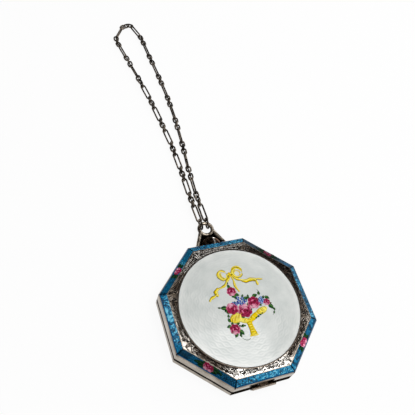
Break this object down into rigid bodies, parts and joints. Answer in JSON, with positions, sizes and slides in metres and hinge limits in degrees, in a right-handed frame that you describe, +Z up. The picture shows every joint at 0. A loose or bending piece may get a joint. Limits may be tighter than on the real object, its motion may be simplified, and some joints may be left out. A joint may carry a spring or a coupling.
{
  "type": "compact mirror",
  "caption": "Octagonal silver powder compact with a white enamel disc, blue enamel bevel, hinged lid with a mirror inside, push catch and a carrying chain.",
  "frame": {"origin": "centre of the base's underside, on the surface it lies on", "axes": "+Z up through the lid, +Y towards the chain lug, -Y towards the hinge, +X right seen from above"},
  "size_m": [0.0492, 0.1702, 0.0096],
  "materials": {
    "case_silver": "polished and engraved silver, slightly worn",
    "chain_silver": "darkened silver wire",
    "white_enamel": "glossy translucent enamel over engine turning, with painted flowers",
    "blue_enamel": "glossy translucent enamel over a textured ground",
    "mirror": "silvered glass",
    "card": "plain card",
    "pan_tin": "pressed tin",
    "powder": "pressed powder, matt",
    "puff_plush": "short soft pile",
    "ribbon": "satin"
  },
  "bodies": {
    "base": {"base_shell": "case_silver", "closing_rim": "case_silver", "base_knuckles": "case_silver", "hinge_pin": "case_silver", "powder_well": "case_silver", "powder_pan": "pan_tin", "pressed_powder": "powder", "powder_puff": "puff_plush", "puff_ribbon": "ribbon", "catch_spring": "case_silver", "chain_lug": "chain_silver"},
    "lid": {"lid_shell": "case_silver", "white_enamel_disc": "white_enamel", "plain_enamel_panels": "blue_enamel", "rose_enamel_panels": "blue_enamel", "mirror_card": "card", "mirror_glass": "mirror", "mirror_frame": "case_silver", "catch_plate": "case_silver", "lid_knuckle": "case_silver"},
    "push": {"push_piece": "case_silver", "push_washer": "case_silver"},
    "chain_end": {"chain_end_links": "chain_silver"},
    "span_1": {"long_links_1": "chain_silver"},
    "span_2": {"small_links_1": "chain_silver", "long_links_2": "chain_silver"},
    "span_3": {"small_links_2": "chain_silver", "long_links_3": "chain_silver"},
    "span_4": {"small_links_3": "chain_silver", "long_links_4": "chain_silver"},
    "span_5": {"small_links_4": "chain_silver", "long_links_5": "chain_silver"},
    "span_6": {"small_links_5": "chain_silver", "long_links_6": "chain_silver"},
    "span_7": {"small_links_6": "chain_silver", "long_links_7": "chain_silver"},
    "span_8": {"small_links_7": "chain_silver", "long_links_8": "chain_silver"},
    "loop_end": {"loop_small_links": "chain_silver", "loop_long_links": "chain_silver"}
  },
  "joints": [
    {"name": "lid_hinge", "type": "hinge", "parent": "base", "child": "lid", "pos_m": [0, -0.02527, 0.0042], "axis": [1, 0, 0], "range_deg": [0, 120]},
    {"name": "push_slide", "type": "slide", "parent": "base", "child": "push", "axis": [0, -1, 0], "range_m": [0, 0.0007], "stiffness_N_per_m": 800, "springref_m": -0.0004, "deforming": ["catch_spring"]},
    {"name": "chain_swing", "type": "hinge", "parent": "base", "child": "chain_end", "pos_m": [0, 0.033, 0.00235], "axis": [0, 0, 1], "range_deg": [-50, 50]},
    {"name": "chain_lift", "type": "hinge", "parent": "chain_end", "child": "span_1", "pos_m": [0, 0.03639, 0.00235], "axis": [1, 0, 0], "range_deg": [-80, 100]},
    {"name": "chain_fold_1", "type": "hinge", "parent": "span_1", "child": "span_2", "pos_m": [0, 0.04364, 0.00206], "axis": [1, 0, 0], "range_deg": [-18, 18]},
    {"name": "chain_fold_2", "type": "hinge", "parent": "span_2", "child": "span_3", "pos_m": [0, 0.05604, 0.00154], "axis": [1, 0, 0], "range_deg": [-18, 18]},
    {"name": "chain_fold_3", "type": "hinge", "parent": "span_3", "child": "span_4", "pos_m": [0, 0.06844, 0.00131], "axis": [1, 0, 0], "range_deg": [-18, 18]},
    {"name": "chain_fold_4", "type": "hinge", "parent": "span_4", "child": "span_5", "pos_m": [0, 0.08084, 0.00131], "axis": [1, 0, 0], "range_deg": [-18, 18]},
    {"name": "chain_fold_5", "type": "hinge", "parent": "span_5", "child": "span_6", "pos_m": [0, 0.09324, 0.00131], "axis": [1, 0, 0], "range_deg": [-18, 18]},
    {"name": "chain_fold_6", "type": "hinge", "parent": "span_6", "child": "span_7", "pos_m": [0, 0.10564, 0.00131], "axis": [1, 0, 0], "range_deg": [-18, 18]},
    {"name": "chain_fold_7", "type": "hinge", "parent": "span_7", "child": "span_8", "pos_m": [0, 0.11804, 0.00131], "axis": [1, 0, 0], "range_deg": [-18, 18]},
    {"name": "chain_fold_8", "type": "hinge", "parent": "span_8", "child": "loop_end", "pos_m": [0, 0.13044, 0.00131], "axis": [1, 0, 0], "range_deg": [-18, 18]}
  ]
}
